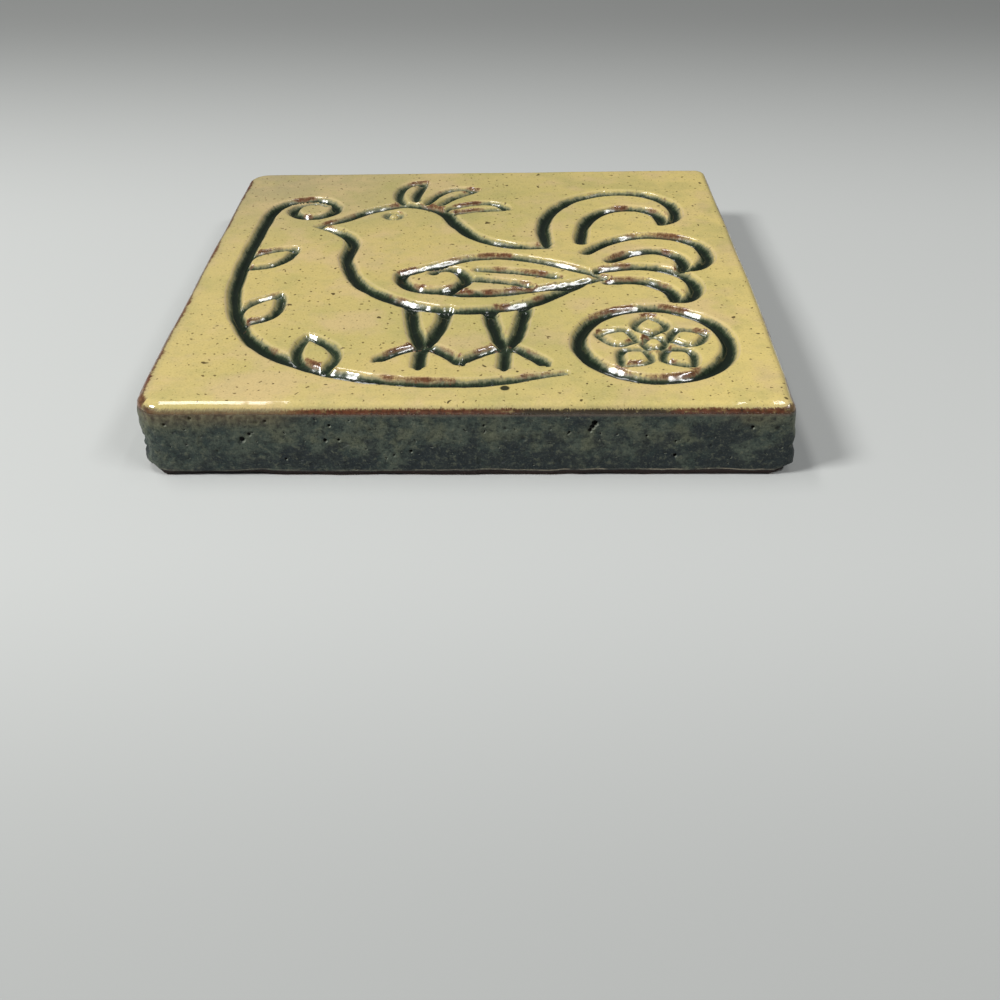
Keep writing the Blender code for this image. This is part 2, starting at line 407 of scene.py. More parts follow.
UNEVEN = {
    "sway_across": (7 * MM, 1, 3, 0.28 * MM),
    "sway_inward": (7 * MM, 2, 3, 0.28 * MM),
    "foot_round": (12 * MM, 3, 2, 0.40),
    "top_round": (30 * MM, 4, 2, 0.10),
    "bow": (26 * MM, 5, 2, 0.22 * MM),
    "rough": (4.2 * MM, 6, 3, 0.17 * MM),
    "ragged": (2.2 * MM, 7, 3, 0.22 * MM),
    "swell": (34 * MM, 8, 2, 0.11 * MM),
    "dimples": (9 * MM, 9, 2, 0.025 * MM),
    "line_floor": (1.8 * MM, 10, 2, 0.05 * MM),
    "foot_wave": (17 * MM, 11, 2, 0.36 * MM),
    "patches": (8 * MM, 12, 2, 1.0),
    "line_wall": (4.5 * MM, 13, 2, 0.10 * MM),
    "drift": (21 * MM, 14, 3, 1.0),
    "edge": (9 * MM, 15, 3, 1.0),
}
SEED_SHIFT = (17.31, 5.17, 9.73)


def uneven(places, kind):
    """Smooth noise either side of zero, worked out place by place."""
    size, seed, octaves, height = UNEVEN[kind]
    shift = Vector([seed * part for part in SEED_SHIFT])
    lumps = [noise.fractal(Vector(place) / size + shift, 1.0, 2.0, octaves) for place in places]
    return height * np.array(lumps)


def in_a_row(lengths):
    """Lengths as places in one line, for noise that changes along a line or an edge."""
    return np.outer(lengths, (1.0, 0.0, 0.0))


def hand_drawn(places):
    """The plan places of the face, shifted a little, so that the lines wander as a hand's do."""
    flat = places * (1, 1, 0)
    return places[:, :2] + np.column_stack([uneven(flat, "sway_across"), uneven(flat, "sway_inward")])


# Dents in the clay

CHIP_POWER = 1.2
# How far a pit's painted rim highlight is moved toward its lower right, in shares of its radius
LIT_RIM_SHIFT = 0.34

# Side, degrees round from it, height, radius and depth in millimetres, and height over width
CORNER_DENTS = (
    (-1, 18, 8.1, 3.4, 0.75, 0.40),
    (-1, 22, 5.4, 3.0, 0.70, 0.44),
    (-1, 58, 10.6, 1.5, 0.35, 0.8),
    (-1, 40, -0.3, 4.2, 1.5, 0.62),
    (1, 14, 7.4, 1.9, 0.30, 0.7),
    (1, 34, -0.5, 3.9, 2.3, 0.85),
)

# For each side's way out: place along it, height and radius in millimetres, and depth over radius
SIDE_PITS = {
    (0, -1): ((-68.7, 14.0, 0.42, 1.4), (-62.6, 15.7, 0.50, 1.4), (-45.4, 14.9, 0.42, 1.3),
              (-30.8, 13.8, 0.42, 1.4), (-32.1, 9.7, 0.55, 1.2), (-28.9, 9.9, 0.40, 1.4),
              (-41.7, 4.6, 0.36, 1.3), (-12.4, 6.7, 0.44, 1.4), (-16.4, 5.6, 0.32, 1.3),
              (4.6, 13.6, 0.36, 1.3), (24.2, 11.7, 0.42, 1.4), (48.9, 5.4, 0.48, 1.4),
              (48.8, 9.3, 0.34, 1.2), (42.0, 10.8, 0.34, 1.2), (66.0, 13.1, 0.48, 1.4),
              (29.9, 14.2, 0.78, 1.3), (29.4, 13.2, 0.66, 1.3), (28.9, 12.3, 0.56, 1.3),
              (-47.4, 14.6, 0.70, 0.4), (-51.3, 10.0, 0.85, 0.7), (-49.5, 11.4, 0.60, 0.7),
              (71.7, 12.8, 1.00, 0.4), (-57.5, 6.8, 0.60, 0.4), (-21.5, 12.6, 0.60, 0.4),
              (9.5, 12.9, 0.65, 0.4), (13.5, 10.4, 1.10, 0.35), (57.0, 8.2, 0.60, 0.4)),
    (1, 0): ((-48.0, 11.0, 0.80, 1.0), (-12.0, 6.5, 0.60, 1.2), (22.0, 12.0, 0.70, 0.5),
             (55.0, 8.0, 0.55, 1.2), (38.0, 14.0, 0.40, 1.3), (-30.0, 13.5, 0.40, 1.3)),
    (0, 1): ((-52.0, 9.0, 0.70, 1.0), (-20.0, 12.5, 0.55, 1.2), (14.0, 7.0, 0.80, 0.5),
             (46.0, 11.5, 0.60, 1.2), (-38.0, 14.5, 0.40, 1.3), (31.0, 5.5, 0.40, 1.3)),
    (-1, 0): ((-57.0, 10.0, 0.70, 1.0), (-24.0, 7.0, 0.55, 1.2), (11.0, 12.0, 0.80, 0.5),
              (50.0, 9.5, 0.60, 1.2), (-8.0, 14.0, 0.40, 1.3), (33.0, 5.0, 0.40, 1.3)),
}


class Dent:
    """Where a dent is, how wide and deep it is, which way it goes in, and its height over its width."""

    def __init__(self, place, radius, depth, inward, tall=1.0):
        self.place = np.array(place)
        self.radius = radius
        self.depth = depth
        self.inward = np.array(Vector(inward).normalized())
        self.squeeze = np.array((1.0, 1.0, 1.0 / tall))

    def strength(self, places):
        share = np.linalg.norm((places - self.place) * self.squeeze, axis=1) / self.radius
        return np.clip(1 - share ** 2, 0.0, 1.0)


def edge_chips():
    """The ledges worn into the left front corner, and the chip at the foot of each front corner."""
    chips = []
    for side, turn, height, radius, depth, tall in CORNER_DENTS:
        corner = tile_sizes().front_left_corner if side < 0 else tile_sizes().front_right_corner
        angle = math.radians(turn)
        out = Vector((side * math.cos(angle), -math.sin(angle), 0.0))
        middle = Vector((side * (HALF - corner), corner - HALF, height * MM))
        chips.append(Dent(middle + out * corner, radius * MM, depth * MM, -out, tall))
    return chips


def side_pits():
    """Burst bubbles in the glaze of the sides."""
    pits = []
    for (out_x, out_y), spots in SIDE_PITS.items():
        for along, height, radius, steep in spots:
            along = along * MM
            place = (out_x * HALF - out_y * along, out_y * HALF + out_x * along, height * MM)
            pits.append(Dent(place, radius * MM, radius * steep * MM, (-out_x, -out_y, 0.0)))
    return pits


def dented(places, chips, pits):
    """The places with chips and pits pushed in, how deep in a pit each is, and where a painted highlight
    goes on each pit's lower right rim.
    """
    for chip in chips:
        places = places + chip.inward * (chip.depth * chip.strength(places) ** CHIP_POWER)[:, None]
    pit, pit_rim_highlight = np.zeros((2, len(places)))
    for hole in pits:
        strength = hole.strength(places)
        steep = min(1.0, hole.depth / hole.radius)
        pit = np.maximum(pit, strength * steep)
        lower_right = np.array((hole.inward[1], -hole.inward[0], -1.0)) * LIT_RIM_SHIFT * hole.radius
        pit_rim_highlight = np.maximum(pit_rim_highlight, (hole.strength(places - lower_right) - strength) * steep)
        places = places + hole.inward * (hole.depth * np.sqrt(strength))[:, None]
    return places, pit, pit_rim_highlight


def side_spread(places):
    """How far the walls stand out sideways: low down by the front corners, and along the right side."""
    height = places[:, 2]
    left = 0.22 * hill(12.2 * MM, 2.8 * MM, height) + 0.36 * hill(2.8 * MM, 1.7 * MM, height)
    right = 0.75 * smooth_step(16 * MM, 9 * MM, height) + 0.45 * hill(3.4 * MM, 2.4 * MM, height)
    by_side = smooth_step(HALF - 14 * MM, HALF - 1 * MM, np.abs(places[:, 0]))
    by_front = smooth_step(-HALF + 45 * MM, -HALF + 8 * MM, places[:, 1])
    belly = 0.55 * hill(-8 * MM, 40 * MM, places[:, 1])
    return np.where(places[:, 0] < 0, -left * by_front, right * by_front + belly) * by_side * MM


# The slab, first square-edged and refined where it needs to be, then given its real form

FLAT_STRIP = 0.1 * MM
MOST_CORNERS = 8
FIRST_RIM, SECOND_RIM = 3.2 * MM, 2.6 * MM
FIRST_CELLS_BY_LINE, SECOND_CELLS_BY_LINE = 0.9, 0.25
FINE_TOP, FINE_FOOT = 2.0 * MM, 1.5 * MM
ROUND_CHIP, ROUND_PIT, ROUND_DENT = 1.0 * MM, 0.7 * MM, 0.2 * MM


def square_slab():
    """A closed slab of square cells: the face, the four sides and a ringed underside."""
    cells = tile_sizes().grid_cells
    rows = round(THICKNESS * cells / SIDE)
    shape = bmesh.new()
    bmesh.ops.create_grid(shape, x_segments=cells, y_segments=cells, size=HALF,
                          matrix=Matrix.Translation((0, 0, THICKNESS)))
    rim = [edge for edge in shape.edges if edge.is_boundary]
    for _ in range(rows):
        grown = bmesh.ops.extrude_edge_only(shape, edges=rim)["geom"]
        lower = {item for item in grown if isinstance(item, bmesh.types.BMVert)}
        bmesh.ops.translate(shape, verts=list(lower), vec=(0, 0, -THICKNESS / rows))
        rim = [item for item in grown if isinstance(item, bmesh.types.BMEdge)
               and lower.issuperset(item.verts)]
    for vertex in lower:
        vertex.co.z = 0.0
    underside = bmesh.ops.edgeloop_fill(shape, edges=rim)["faces"]
    for _ in range(2):
        bmesh.ops.inset_region(shape, faces=underside, thickness=SIDE / cells / 2)
    bmesh.ops.recalc_face_normals(shape, faces=shape.faces)
    return shape


def refine(shape, wanted):
    """Halve the cells whose middles are wanted."""
    shape.faces.ensure_lookup_table()
    middles = np.array([face.calc_center_median()[:] for face in shape.faces])
    corners = np.array([len(face.verts) for face in shape.faces])
    chosen = np.flatnonzero(wanted(middles) & (corners <= MOST_CORNERS))
    edges = {edge for index in chosen for edge in shape.faces[index].edges}
    bmesh.ops.subdivide_edges(shape, edges=list(edges), cuts=1, use_grid_fill=True)


def inset_of(places):
    """How far in from the nearest side each place is."""
    return HALF - np.abs(places[:, :2]).max(axis=1)


def near_dents(places, dents, extra):
    wanted = np.zeros(len(places), dtype=bool)
    for dent in dents:
        wanted |= np.linalg.norm(places - dent.place, axis=1) < dent.radius + extra
    return wanted


def refined_slab(lines, chips, pits):
    """The square slab with small cells by the lines, edges and dents."""
    shape = square_slab()
    cell = SIDE / tile_sizes().grid_cells

    def chosen(middles, rim, cells_by_line, on_sides):
        on_face = middles[:, 2] > THICKNESS - FLAT_STRIP
        on_foot = middles[:, 2] < FLAT_STRIP
        by_line = Relief(middles[:, :2], lines).margin < cells_by_line * cell
        return np.where(on_face, by_line | (inset_of(middles) < rim), on_sides & ~on_foot)

    def first(middles):
        return chosen(middles, FIRST_RIM, FIRST_CELLS_BY_LINE, True)

    def second(middles):
        by_edge = (middles[:, 2] > THICKNESS - FINE_TOP) | (middles[:, 2] < FINE_FOOT)
        by_dent = near_dents(middles, chips, ROUND_CHIP) | near_dents(middles, pits, ROUND_PIT)
        return chosen(middles, SECOND_RIM, SECOND_CELLS_BY_LINE, by_edge | by_dent)

    def third(middles):
        return near_dents(middles, pits + chips, ROUND_DENT)

    for wanted in (first, second, third):
        refine(shape, wanted)
    return shape


def eased(inset, drop, radius):
    """Where a square edge's place goes once the edge is a quarter round of that radius."""
    across = np.clip(1 - inset / radius, 0.0, None)
    down = np.clip(1 - drop / radius, 0.0, None)
    turned = (across > 0) & (down > 0)
    length = np.where(turned, np.hypot(across, down), 1.0)
    new_inset = np.where(turned, radius * (1 - across / length), inset)
    new_drop = np.where(turned, radius * (1 - down / length), drop)
    return new_inset, new_drop


def rounded(square):
    """The square slab's places with its edges and upright corners rounded, and the way out there."""
    sizes = tile_sizes()
    x, y, z = square.T
    low = z < TINY
    inset = inset_of(square)
    inset[~low & (z < THICKNESS - TINY)] = 0.0
    flat = square * (1, 1, 0)
    foot_radius = sizes.bottom_arris * (0.75 + uneven(flat, "foot_round"))
    top_radius = sizes.top_arris * (1.0 + uneven(flat, "top_round"))
    by_corner = smooth_step(16 * MM, 4 * MM, np.hypot(np.abs(x) - HALF, y + HALF))
    left_front = smooth_step(-5 * MM, -52 * MM, x) * (y < -HALF + 8 * MM)
    top_radius += sizes.corner_softness * np.maximum(by_corner, left_front)
    top_inset, drop = eased(inset, THICKNESS - z, top_radius)
    foot_inset, rise = eased(inset, z, foot_radius)
    upper = z > THICKNESS / 2
    inset = np.where(upper, top_inset, foot_inset)
    height = np.where(upper, THICKNESS - drop, rise)
    widest = np.maximum(np.abs(square[:, :2]).max(axis=1), NOT_ZERO)
    plan = square[:, :2] * ((HALF - inset) / widest)[:, None]
    sign = np.where(plan < 0, -1.0, 1.0)
    back = np.where(plan[:, 0] < 0, sizes.back_left_corner, sizes.back_right_corner)
    front = np.where(plan[:, 0] < 0, sizes.front_left_corner, sizes.front_right_corner)
    radius = np.where(plan[:, 1] > 0, back, front)
    local = (np.abs(plan) - (HALF - radius)[:, None]) / radius[:, None]
    corner = np.all(local > 0, axis=1)
    length = np.where(corner, np.hypot(*local.T), 1.0)
    local_round = local * (local.max(axis=1) / length)[:, None]
    round_plan = sign * ((HALF - radius)[:, None] + radius[:, None] * local_round)
    plan = np.where(corner[:, None], round_plan, plan)
    wall = sign * (np.abs(plan) >= np.abs(plan[:, ::-1]))
    outward = np.where(corner[:, None], sign * local / length[:, None], wall)
    return np.column_stack([plan, height]), np.column_stack([outward, np.zeros(len(plan))]), corner


def way_around(square):
    """How far round the four sides each place is, in metres, from the back left corner."""
    x, y = square[:, 0], square[:, 1]
    by_x = np.abs(x) >= np.abs(y)
    left_or_right = np.where(x < 0, HALF - y, 2 * SIDE + HALF + y)
    front_or_back = np.where(y < 0, SIDE + HALF + x, 3 * SIDE + HALF - x)
    return np.where(by_x, left_or_right, front_or_back)


def foot_lift(places, drop):
    """How far up the foot of the sides is in its waves, more so at the left of the front."""
    x = places[:, 0]
    wave = np.clip(uneven(places * (1, 1, 0), "foot_wave") + 0.04 * MM, 0.0, None)
    left_foot = smooth_step(-74 * MM, -66 * MM, x) * smooth_step(-42 * MM, -52 * MM, x)
    wave += 0.50 * MM * left_foot * (places[:, 1] < 0)
    rising = smooth_step(THICKNESS - 3.5 * MM, THICKNESS, drop)
    return wave * rising * smooth_step(THICKNESS + 1.7 * MM, THICKNESS + 0.3 * MM, drop)


def line_rust(relief):
    """Where rust shows in the lines: in patches on the far shoulders and on ridges between lines."""
    patches = smooth_step(-0.20, 0.40, uneven(in_a_row(relief.along), "patches"))
    shoulder = hill(0.70, 0.20, relief.nearest) * smooth_step(0.45, 0.92, relief.faces_front)
    ridge = smooth_step(1.2, 1.8, relief.crowd) * smooth_step(-0.2, 0.6, relief.faces_front)
    return np.clip(shoulder * patches + ridge * 0.7 * (0.3 + 0.7 * patches), 0.0, 1.0)


def edge_wear(places, around):
    """What the glaze does along the top edge, by the names that the mesh keeps it under.

    worn: how strongly rust shows. creep: how far it reaches in over the face. thick: how far it reaches
    up from the side. ember: red at 1 and dark olive at 0. veil: thin brownish glaze below the edge.
    """
    ring = in_a_row(around)
    drift = uneven(ring, "drift")
    beside = smooth_step(-0.5, 0.5, uneven(ring, "edge"))
    in_front = smooth_step(SIDE / 2 + 1 * MM, SIDE / 2 - 3 * MM, np.abs(around - 1.5 * SIDE))
    on_left = smooth_step(SIDE + 1 * MM, SIDE - 1 * MM, around)
    x = places[:, 0] / MM
    left_end = smooth_step(-34, -47, x)
    very_left = smooth_step(-69, -73, x)
    right_end = smooth_step(45, 50, x)
    dull = smooth_step(9, 15, x) - right_end
    right_tip = hill(74.5, 1.6, x)

    def joined(on_front, elsewhere):
        return elsewhere + (on_front - elsewhere) * in_front

    rubbed_sides = np.maximum(smooth_step(-0.45, 0.25, drift), 0.95 * on_left)
    return {
        "worn": joined(1 - 0.50 * left_end + 0.45 * very_left + 0.15 * dull, rubbed_sides),
        "creep": joined(1.3 * very_left + 1.2 * right_tip, 1.1 + 0.8 * beside + 1.5 * on_left) * MM,
        "thick": joined(1.55 - 0.75 * left_end - 0.25 * dull + 0.25 * beside, 0.9) * MM,
        "ember": joined(1 - 0.85 * dull - 0.45 * very_left - 0.7 * right_tip, 0.55 + 0.45 * beside),
        "veil": joined(left_end + 0.6 * hill(66, 4.5, x), 0.7 * smooth_step(0.05, 0.5, -drift)),
    }


def glazed_slab(lines):
    """The finished slab as a mesh, with what its glaze needs to know kept as attributes."""
    sizes = tile_sizes()
    chips = edge_chips()
    pits = side_pits()
    shape = refined_slab(lines, chips, pits)
    square = np.array([vertex.co[:] for vertex in shape.verts])
    on_face = square[:, 2] > THICKNESS - TINY
    on_foot = square[:, 2] < TINY
    inset = inset_of(square)
    drop = np.where(on_face, -inset, np.where(on_foot, THICKNESS + inset, THICKNESS - square[:, 2]))

    places, outward, corner = rounded(square)
    above_foot = smooth_step(THICKNESS + 2 * MM, THICKNESS, drop)
    side_share = smooth_step(0.2 * MM, 2.4 * MM, drop) * above_foot
    edge_share = smooth_step(-6 * MM, -0.5 * MM, drop) * above_foot
    front_left = (smooth_step(-25 * MM, -50 * MM, places[:, 0])
                  * smooth_step(24 * MM, 6 * MM, places[:, 1] + HALF))
    bow = uneven(places * (1, 1, 0.3), "bow") * edge_share * (1 - 0.75 * front_left)
    rough = uneven(places * (1, 1, 1.2), "rough") * side_share
    ragged = uneven(places, "ragged") * side_share * corner
    places += outward * (bow + rough + ragged)[:, None]
    places[:, 0] += side_spread(places)
    places, pit, pit_rim_highlight = dented(places, chips, pits)

    relief = Relief(hand_drawn(places), lines)
    flat = places * (1, 1, 0)
    face_share = smooth_step(2.0 * MM, 4.0 * MM, inset) * on_face
    depth = relief.depth * face_share
    swell = uneven(flat, "swell") + uneven(flat, "dimples")
    lip = relief.lip * sizes.lip_height * (1 - depth) * face_share
    on_wall = np.clip(4 * depth * (1.1 - depth), 0.0, 1.0)
    rough_line = uneven(flat, "line_floor") * depth + uneven(flat, "line_wall") * on_wall
    places[:, 2] += swell * on_face + lip - depth * sizes.line_depth + rough_line
    places[:, 2] += foot_lift(places, drop)
    places[:, 2] = np.maximum(places[:, 2], 0.0)

    around = way_around(square)
    wear = edge_wear(places, around)
    places[:, 1] += sizes.back_slant * places[:, 0] / HALF * (places[:, 1] + HALF) / SIDE
    kept_values = {
        "line": depth, "along": relief.along, "far_wall": smooth_step(-0.5, 0.5, relief.faces_front),
        "drop": drop, "rust": line_rust(relief) * face_share, "pit": pit, "pit_rim_highlight": pit_rim_highlight,
        "around": around, **wear,
    }

    mesh = bpy.data.meshes.new("glazed_tile")
    shape.to_mesh(mesh)
    shape.free()
    mesh.vertices.foreach_set("co", places.astype(np.float32).ravel())
    for name, values in kept_values.items():
        layer = mesh.attributes.new(name, "FLOAT", "POINT")
        layer.data.foreach_set("value", values.astype(np.float32))
    mesh.update()
    mesh.shade_smooth()
    return mesh


# Shader building

def fill(tree, node, inputs):
    """Set or link a node's inputs by name or number."""
    for key, value in inputs.items():
        if isinstance(value, Number):
            value = value.socket
        if isinstance(value, bpy.types.NodeSocket):
            tree.links.new(value, node.inputs[key])
        else:
            node.inputs[key].default_value = value


def put(tree, kind, inputs=None, **settings):
    """Add a node, set its options, and set or link its inputs."""
    made = tree.nodes.new(kind)
    for name, value in settings.items():
        setattr(made, name, value)
    fill(tree, made, inputs or {})
    return made


def colour(value):
    """A colour that a Mix node takes, from three numbers or a socket."""
    return value if isinstance(value, bpy.types.NodeSocket) else (*value, 1.0)


def darker(value, share):
    return [part * share for part in value]


def blend(tree, share, first, second):
    """One colour going over to another."""
    inputs = {0: share, 6: colour(first), 7: colour(second)}
    return put(tree, "ShaderNodeMix", inputs, data_type="RGBA").outputs[2]


class Number:
    """A number that a node puts out. What is worked out from it is a node too."""

    def __init__(self, tree, socket):
        self.tree = tree
        self.socket = socket

    def maths(self, operation, other, **settings):
        made = put(self.tree, "ShaderNodeMath", {0: self, 1: other}, operation=operation, **settings)
        return Number(self.tree, made.outputs[0])

    def __add__(self, other):
        return self.maths("ADD", other)

    def __sub__(self, other):
        return self.maths("SUBTRACT", other)

    def __mul__(self, other):
        return self.maths("MULTIPLY", other)

    def ramp(self, start, end, most=1.0, least=0.0):
        """From least at the start to most at the end, which may be the lesser of the two."""
        inputs = {"Value": self, "From Min": start, "From Max": end, "To Min": least, "To Max": most}
        made = put(self.tree, "ShaderNodeMapRange", inputs, interpolation_type="SMOOTHSTEP")
        return Number(self.tree, made.outputs["Result"])

    def swing(self, reach):
        """A number from 0 to 1 made to swing either side of zero."""
        return self * reach - reach / 2

    def coat(self, under, tone):
        """A colour over another, in this number's share."""
        return blend(self.tree, self, under, tone)


def axes(tree, vector):
    """A vector's three parts."""
    return [Number(tree, part) for part in put(tree, "ShaderNodeSeparateXYZ", {0: vector}).outputs]


def kept(tree, name):
    """A value kept on the mesh."""
    return Number(tree, put(tree, "ShaderNodeAttribute", attribute_name=name).outputs["Fac"])


def cloud(tree, vector, size, detail=2.0, rough=0.5):
    """Noise from 0 to 1 whose features are about that size."""
    inputs = {"Vector": vector, "Scale": 1.0 / size, "Detail": detail, "Roughness": rough}
    return Number(tree, put(tree, "ShaderNodeTexNoise", inputs).outputs["Fac"])


def mapped(tree, vector, **inputs):
    """The same places moved by a Location or stretched by a Scale."""
    return put(tree, "ShaderNodeMapping", {"Vector": vector, **inputs}).outputs[0]


def beside(tree, vector, across):
    """The same places moved aside, so that two clouds on them don't match."""
    return mapped(tree, vector, Location=(across, across / 2, 0.0))


def wall_streaks(tree, along, line, width, detail):
    """Noise drawn out down the walls of a line, in streaks about that wide."""
    walk = put(tree, "ShaderNodeCombineXYZ", {0: along.maths("DIVIDE", width), 1: line * 1.3}).outputs[0]
    return cloud(tree, walk, 1.0, detail, 0.65)


def bump(tree, height):
    return put(tree, "ShaderNodeBump", {"Height": height, "Strength": 1.0, "Distance": 1.0}).outputs[0]


def new_material(name):
    """An empty material, with its node tree, its shader and the object's own places."""
    material = bpy.data.materials.new(name)
    material.use_nodes = True
    tree = material.node_tree
    place = put(tree, "ShaderNodeTexCoord").outputs["Object"]
    return material, tree, tree.nodes["Principled BSDF"], place


def new_group(name, inputs, outputs):
    """An empty node group, with its inputs and the node that takes its results."""
    group = bpy.data.node_groups.new(name, "ShaderNodeTree")
    for way, sockets in (("INPUT", inputs), ("OUTPUT", outputs)):
        for socket_name, kind in sockets.items():
            group.interface.new_socket(socket_name, in_out=way, socket_type=kind)
    return group, group.nodes.new("NodeGroupInput").outputs, group.nodes.new("NodeGroupOutput")


def use(tree, group, inputs):
    return put(tree, "ShaderNodeGroup", inputs, node_tree=group).outputs


def specks_group():
    """Scattered dots of uneven size: cell size, share of cells with a dot, and dot radius in cells."""
    group, given, result = new_group(
        "scattered_specks",
        {"Vector": "NodeSocketVector", "Cell": "NodeSocketFloat", "Share": "NodeSocketFloat",
         "Radius": "NodeSocketFloat"},
        {"Mask": "NodeSocketFloat"})
    place = given["Vector"]
    scale = put(group, "ShaderNodeMath", {0: 1.0, 1: given["Cell"]}, operation="DIVIDE").outputs[0]
    waver = Number(group, scale) * 2.5
    wobble = put(group, "ShaderNodeTexNoise", {"Vector": place, "Scale": waver, "Detail": 1.0})
    nudge = put(group, "ShaderNodeVectorMath", {0: wobble.outputs["Color"], 1: (0.5, 0.5, 0.5)},
                operation="SUBTRACT").outputs[0]
    reach = Number(group, given["Cell"]) * 0.45
    shove = put(group, "ShaderNodeVectorMath", {0: nudge, "Scale": reach}, operation="SCALE").outputs[0]
    moved = put(group, "ShaderNodeVectorMath", {0: place, 1: shove}, operation="ADD").outputs[0]
    cells = put(group, "ShaderNodeTexVoronoi", {"Vector": moved, "Scale": scale}, voronoi_dimensions="2D")
    draw = put(group, "ShaderNodeSeparateColor", {0: cells.outputs["Color"]}).outputs
    chosen = Number(group, draw[0]).maths("LESS_THAN", given["Share"])
    radius = (Number(group, draw[1]) * 0.8 + 0.35) * given["Radius"]
    dot = Number(group, cells.outputs["Distance"]).ramp(radius, radius * 0.55)
    fill(group, result, {"Mask": dot * chosen})
    return group


def dots(tree, specks, vector, cell, share, radius):
    """Where one scatter of specks is."""
    inputs = {"Vector": vector, "Cell": cell, "Share": share, "Radius": radius}
    return Number(tree, use(tree, specks, inputs)["Mask"])


def clay_group(clay):
    """Bare fired clay: its colour with paler grit and darker burns, and its grain as a height."""
    group, given, result = new_group(
        "fired_clay", {"Vector": "NodeSocketVector"},
        {"Color": "NodeSocketColor", "Height": "NodeSocketFloat"})
    place = given["Vector"]
    pale = [min(1.0, part * 1.5 + 0.04) for part in clay]
    tone = cloud(group, place, 24 * MM, 4.0).ramp(0.35, 0.70).coat(clay, darker(clay, 0.45))
    fine = cloud(group, place, 1.1 * MM, 4.0, 0.7)
    tone = fine.ramp(0.52, 0.75).coat(tone, pale)
    grit = put(group, "ShaderNodeTexVoronoi", {"Vector": place, "Scale": 1 / (1.6 * MM)})
    grit_mask = Number(group, grit.outputs["Distance"]).ramp(0.20, 0.10)
    fill(group, result, {"Color": (grit_mask * 0.6).coat(tone, pale), "Height": grit_mask * 0.35 + fine})
    return group


# The dark spot that bled through the face by its front edge, and how far it goes
SPOT_PLACE = (9.4 * MM, -68.1 * MM, THICKNESS)
SPOT_CORE, SPOT_REACH = 0.85 * MM, 1.35 * MM

# Colours that the glazes run into, beside those that the user can change
# The face's painted light toward the right and painted shade at its back left corner
PAINTED_LIGHT_GOLD = (0.735, 0.580, 0.205)
PAINTED_SHADE_DULL = (0.385, 0.325, 0.190)
GREENED = (0.420, 0.385, 0.140)
FLUSHED = (0.650, 0.480, 0.252)
DARK_DUST = (0.300, 0.225, 0.080)
PALE_DUST = (0.800, 0.680, 0.330)
# Pale shoulders of the lines: thinner glaze together with a painted rim highlight
PALE_SHOULDER_AND_RIM_HIGHLIGHT = (0.600, 0.480, 0.300)
BROWNED = (0.300, 0.160, 0.090)
DEEP_TEAL = (0.028, 0.045, 0.041)
TEAL = (0.078, 0.098, 0.075)
OLIVE = (0.122, 0.132, 0.082)
NAVY = (0.011, 0.018, 0.024)
SCAR = (0.012, 0.018, 0.020)
# Painted highlights on the rims of pinholes and pits, and painted shade inside them
GLINT = (0.23, 0.25, 0.19)
LIT_RIM = (0.27, 0.29, 0.23)
PAINTED_PIT_SHADE = (0.003, 0.003, 0.003)
FOOT_EDGE_HIGHLIGHT = (0.30, 0.26, 0.19)
FOOT_CONTACT_SHADE = (0.011, 0.010, 0.012)
HALO = (0.175, 0.125, 0.100)
DARK_VEIL = (0.080, 0.056, 0.032)
PALE_VEIL = (0.175, 0.150, 0.085)
MIST = (0.330, 0.290, 0.170)
DARK_EDGE = (0.038, 0.032, 0.017)
BEAD = (0.022, 0.015, 0.010)
WIRE_DRAG = (0.07, 0.035, 0.02)

# Specks on the face: cell, share of cells with one, radius in cells, strength and share of their colour
FACE_SPECKS = (
    (1.5 * MM, 0.50, 0.16, 0.34, 1.0),
    (2.7 * MM, 0.55, 0.125, 0.78, 1.0),
    (8.0 * MM, 0.62, 0.068, 0.88, 0.6),
)

# Pinholes, scars and beads of the sides and edge: cell, and share of cells with one
PINHOLES = (3.8 * MM, 0.30)
SCARS = (5.5 * MM, 0.45)
BEADS = (1.5 * MM, 0.35)

# Each grain of the sides, dark then pale: where it starts and is full, its greatest share and its colour
SIDE_GRAINS = (
    ((0.48, 0.32, 0.72, (0.010, 0.016, 0.015)), (0.53, 0.69, 0.52, (0.155, 0.165, 0.110))),
    ((0.47, 0.30, 0.60, (0.009, 0.013, 0.013)), (0.55, 0.72, 0.36, (0.130, 0.150, 0.105))),
    ((0.48, 0.30, 0.65, (0.009, 0.012, 0.012)), (0.54, 0.72, 0.40, (0.175, 0.185, 0.135))),
)


